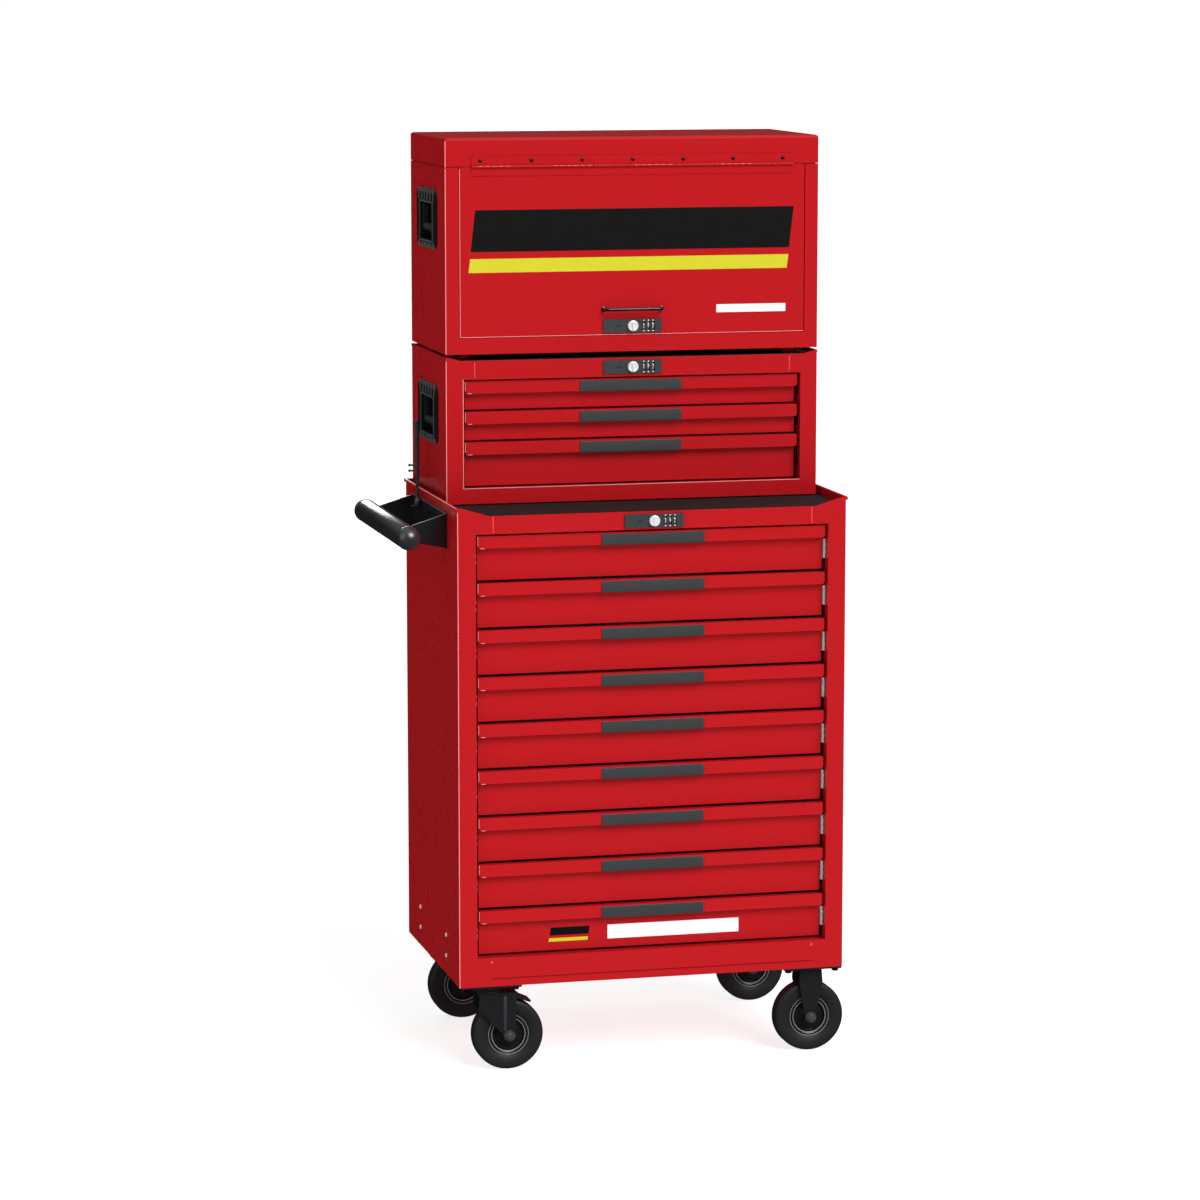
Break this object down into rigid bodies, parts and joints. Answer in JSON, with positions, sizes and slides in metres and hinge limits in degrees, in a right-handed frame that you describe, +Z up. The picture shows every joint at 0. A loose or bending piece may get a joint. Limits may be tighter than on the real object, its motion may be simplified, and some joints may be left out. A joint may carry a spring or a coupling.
{
  "type": "rolling tool chest",
  "caption": "Red steel tool chest in three stages: a roller cabinet of wide drawers with a push handle, a small drawer box, and a top box with a lift-up lid and hinged front flap.",
  "frame": {"origin": "on the floor, under the middle of the whole chest with its push handle and casters", "axes": "+X to the right along the drawer fronts, +Y to the back, +Z up"},
  "size_m": [0.8004, 0.4613, 1.6165],
  "materials": {
    "red_paint": "glossy red enamel on sheet steel",
    "black_steel": "satin black powder coat",
    "black_plastic": "matt black grip plastic",
    "dark_plastic": "dark grey moulded plastic",
    "rim_plastic": "matt black moulded wheel centre",
    "tyre_rubber": "dull black rubber",
    "zinc": "bright zinc plate",
    "satin_metal": "satin bright metal"
  },
  "bodies": {
    "chest": {"cabinet_shell": "red_paint", "cabinet_slides_left": "zinc", "cabinet_slides_right": "zinc", "cabinet_lock_case": "dark_plastic", "push_handle_bracket": "black_steel", "push_handle_grip": "black_plastic", "clip_post": "black_steel", "front_left_caster_plate": "black_steel", "rear_left_caster_plate": "black_steel", "front_right_fixed_fork": "black_steel", "rear_right_fixed_fork": "black_steel", "front_right_axle": "zinc", "rear_right_axle": "zinc", "middle_shell": "red_paint", "middle_lock_case": "dark_plastic", "middle_handle_plate_left": "black_steel", "middle_handle_plate_right": "black_steel", "top_shell": "red_paint", "top_handle_plate_left": "black_steel", "top_handle_plate_right": "black_steel"},
    "cabinet_drawer_1": {"cabinet_drawer_1": "red_paint"},
    "cabinet_drawer_2": {"cabinet_drawer_2": "red_paint"},
    "cabinet_drawer_3": {"cabinet_drawer_3": "red_paint"},
    "cabinet_drawer_4": {"cabinet_drawer_4": "red_paint"},
    "cabinet_drawer_5": {"cabinet_drawer_5": "red_paint"},
    "cabinet_drawer_6": {"cabinet_drawer_6": "red_paint"},
    "cabinet_drawer_7": {"cabinet_drawer_7": "red_paint"},
    "cabinet_drawer_8": {"cabinet_drawer_8": "red_paint"},
    "cabinet_drawer_9": {"cabinet_drawer_9": "red_paint"},
    "middle_drawer_1": {"middle_drawer_1": "red_paint"},
    "middle_drawer_2": {"middle_drawer_2": "red_paint"},
    "middle_drawer_3": {"middle_drawer_3": "red_paint"},
    "lid": {"lid": "red_paint"},
    "flap": {"flap": "red_paint", "flap_pull": "black_steel", "flap_lock_case": "dark_plastic"},
    "cabinet_lock_knob": {"cabinet_lock_knob": "satin_metal"},
    "cabinet_lock_dials": {"cabinet_lock_dials": "dark_plastic"},
    "middle_lock_knob": {"middle_lock_knob": "satin_metal"},
    "middle_lock_dials": {"middle_lock_dials": "dark_plastic"},
    "flap_lock_knob": {"flap_lock_knob": "satin_metal"},
    "flap_lock_dials": {"flap_lock_dials": "dark_plastic"},
    "middle_handle_bail_left": {"middle_handle_bail_left": "black_plastic"},
    "middle_handle_bail_right": {"middle_handle_bail_right": "black_plastic"},
    "top_handle_bail_left": {"top_handle_bail_left": "black_plastic"},
    "top_handle_bail_right": {"top_handle_bail_right": "black_plastic"},
    "front_left_fork": {"front_left_swivel_fork": "black_steel", "front_left_axle": "zinc"},
    "front_left_wheel": {"front_left_tyre": "tyre_rubber", "front_left_rim": "rim_plastic"},
    "front_left_brake": {"front_left_brake_pedal": "black_steel"},
    "rear_left_fork": {"rear_left_swivel_fork": "black_steel", "rear_left_axle": "zinc"},
    "rear_left_wheel": {"rear_left_tyre": "tyre_rubber", "rear_left_rim": "rim_plastic"},
    "rear_left_brake": {"rear_left_brake_pedal": "black_steel"},
    "front_right_wheel": {"front_right_tyre": "tyre_rubber", "front_right_rim": "rim_plastic"},
    "rear_right_wheel": {"rear_right_tyre": "tyre_rubber", "rear_right_rim": "rim_plastic"}
  },
  "joints": [
    {"name": "cabinet_drawer_1_slide", "type": "slide", "parent": "chest", "child": "cabinet_drawer_1", "axis": [0, -1, 0], "range_m": [0, 0.36]},
    {"name": "cabinet_drawer_2_slide", "type": "slide", "parent": "chest", "child": "cabinet_drawer_2", "axis": [0, -1, 0], "range_m": [0, 0.36]},
    {"name": "cabinet_drawer_3_slide", "type": "slide", "parent": "chest", "child": "cabinet_drawer_3", "axis": [0, -1, 0], "range_m": [0, 0.36]},
    {"name": "cabinet_drawer_4_slide", "type": "slide", "parent": "chest", "child": "cabinet_drawer_4", "axis": [0, -1, 0], "range_m": [0, 0.36]},
    {"name": "cabinet_drawer_5_slide", "type": "slide", "parent": "chest", "child": "cabinet_drawer_5", "axis": [0, -1, 0], "range_m": [0, 0.36]},
    {"name": "cabinet_drawer_6_slide", "type": "slide", "parent": "chest", "child": "cabinet_drawer_6", "axis": [0, -1, 0], "range_m": [0, 0.36]},
    {"name": "cabinet_drawer_7_slide", "type": "slide", "parent": "chest", "child": "cabinet_drawer_7", "axis": [0, -1, 0], "range_m": [0, 0.36]},
    {"name": "cabinet_drawer_8_slide", "type": "slide", "parent": "chest", "child": "cabinet_drawer_8", "axis": [0, -1, 0], "range_m": [0, 0.36]},
    {"name": "cabinet_drawer_9_slide", "type": "slide", "parent": "chest", "child": "cabinet_drawer_9", "axis": [0, -1, 0], "range_m": [0, 0.36]},
    {"name": "middle_drawer_1_slide", "type": "slide", "parent": "chest", "child": "middle_drawer_1", "axis": [0, -1, 0], "range_m": [0, 0.23]},
    {"name": "middle_drawer_2_slide", "type": "slide", "parent": "chest", "child": "middle_drawer_2", "axis": [0, -1, 0], "range_m": [0, 0.23]},
    {"name": "middle_drawer_3_slide", "type": "slide", "parent": "chest", "child": "middle_drawer_3", "axis": [0, -1, 0], "range_m": [0, 0.23]},
    {"name": "lid_hinge", "type": "hinge", "parent": "chest", "child": "lid", "pos_m": [0.04475, 0.22725, 1.567], "axis": [-1, 0, 0], "range_deg": [0, 85]},
    {"name": "flap_hinge", "type": "hinge", "parent": "lid", "child": "flap", "pos_m": [0.04475, -0.07775, 1.5666], "axis": [-1, 0, 0], "range_deg": [0, 175]},
    {"name": "cabinet_lock_turn", "type": "hinge", "parent": "chest", "child": "cabinet_lock_knob", "pos_m": [0.04475, -0.21925, 0.9626], "axis": [0, 1, 0], "range_deg": [0, 90]},
    {"name": "cabinet_dials_spin", "type": "hinge", "parent": "chest", "child": "cabinet_lock_dials", "pos_m": [0.07305, -0.21525, 0.9626], "axis": [1, 0, 0], "continuous": true},
    {"name": "middle_lock_turn", "type": "hinge", "parent": "chest", "child": "middle_lock_knob", "pos_m": [0.04275, -0.07525, 1.216], "axis": [0, 1, 0], "range_deg": [0, 90]},
    {"name": "middle_dials_spin", "type": "hinge", "parent": "chest", "child": "middle_lock_dials", "pos_m": [0.07105, -0.07125, 1.216], "axis": [1, 0, 0], "continuous": true},
    {"name": "flap_lock_turn", "type": "hinge", "parent": "flap", "child": "flap_lock_knob", "pos_m": [0.04275, -0.07485, 1.2877], "axis": [0, 1, 0], "range_deg": [0, 90]},
    {"name": "flap_dials_spin", "type": "hinge", "parent": "flap", "child": "flap_lock_dials", "pos_m": [0.07105, -0.07085, 1.2877], "axis": [1, 0, 0], "continuous": true},
    {"name": "middle_bail_left_swing", "type": "hinge", "parent": "chest", "child": "middle_handle_bail_left", "pos_m": [-0.28475, 0.07475, 1.151], "axis": [0, 1, 0], "range_deg": [0, 90]},
    {"name": "middle_bail_right_swing", "type": "hinge", "parent": "chest", "child": "middle_handle_bail_right", "pos_m": [0.37425, 0.07475, 1.151], "axis": [0, -1, 0], "range_deg": [0, 90]},
    {"name": "top_bail_left_swing", "type": "hinge", "parent": "chest", "child": "top_handle_bail_left", "pos_m": [-0.28475, 0.07475, 1.492], "axis": [0, 1, 0], "range_deg": [0, 90]},
    {"name": "top_bail_right_swing", "type": "hinge", "parent": "chest", "child": "top_handle_bail_right", "pos_m": [0.37425, 0.07475, 1.492], "axis": [0, -1, 0], "range_deg": [0, 90]},
    {"name": "front_left_swivel", "type": "hinge", "parent": "chest", "child": "front_left_fork", "pos_m": [-0.24325, -0.18225, 0.14], "axis": [0, 0, 1], "continuous": true},
    {"name": "front_left_roll", "type": "hinge", "parent": "front_left_fork", "child": "front_left_wheel", "pos_m": [-0.21025, -0.18225, 0.0625], "axis": [0, 1, 0], "continuous": true},
    {"name": "front_left_brake_press", "type": "hinge", "parent": "front_left_fork", "child": "front_left_brake", "pos_m": [-0.20475, -0.18225, 0.1315], "axis": [0, 1, 0], "range_deg": [0, 5]},
    {"name": "rear_left_swivel", "type": "hinge", "parent": "chest", "child": "rear_left_fork", "pos_m": [-0.24325, 0.19375, 0.14], "axis": [0, 0, 1], "continuous": true},
    {"name": "rear_left_roll", "type": "hinge", "parent": "rear_left_fork", "child": "rear_left_wheel", "pos_m": [-0.21025, 0.19375, 0.0625], "axis": [0, 1, 0], "continuous": true},
    {"name": "rear_left_brake_press", "type": "hinge", "parent": "rear_left_fork", "child": "rear_left_brake", "pos_m": [-0.20475, 0.19375, 0.1315], "axis": [0, 1, 0], "range_deg": [0, 5]},
    {"name": "front_right_roll", "type": "hinge", "parent": "chest", "child": "front_right_wheel", "pos_m": [0.33775, -0.18225, 0.0625], "axis": [0, 1, 0], "continuous": true},
    {"name": "rear_right_roll", "type": "hinge", "parent": "chest", "child": "rear_right_wheel", "pos_m": [0.33775, 0.19375, 0.0625], "axis": [0, 1, 0], "continuous": true}
  ]
}
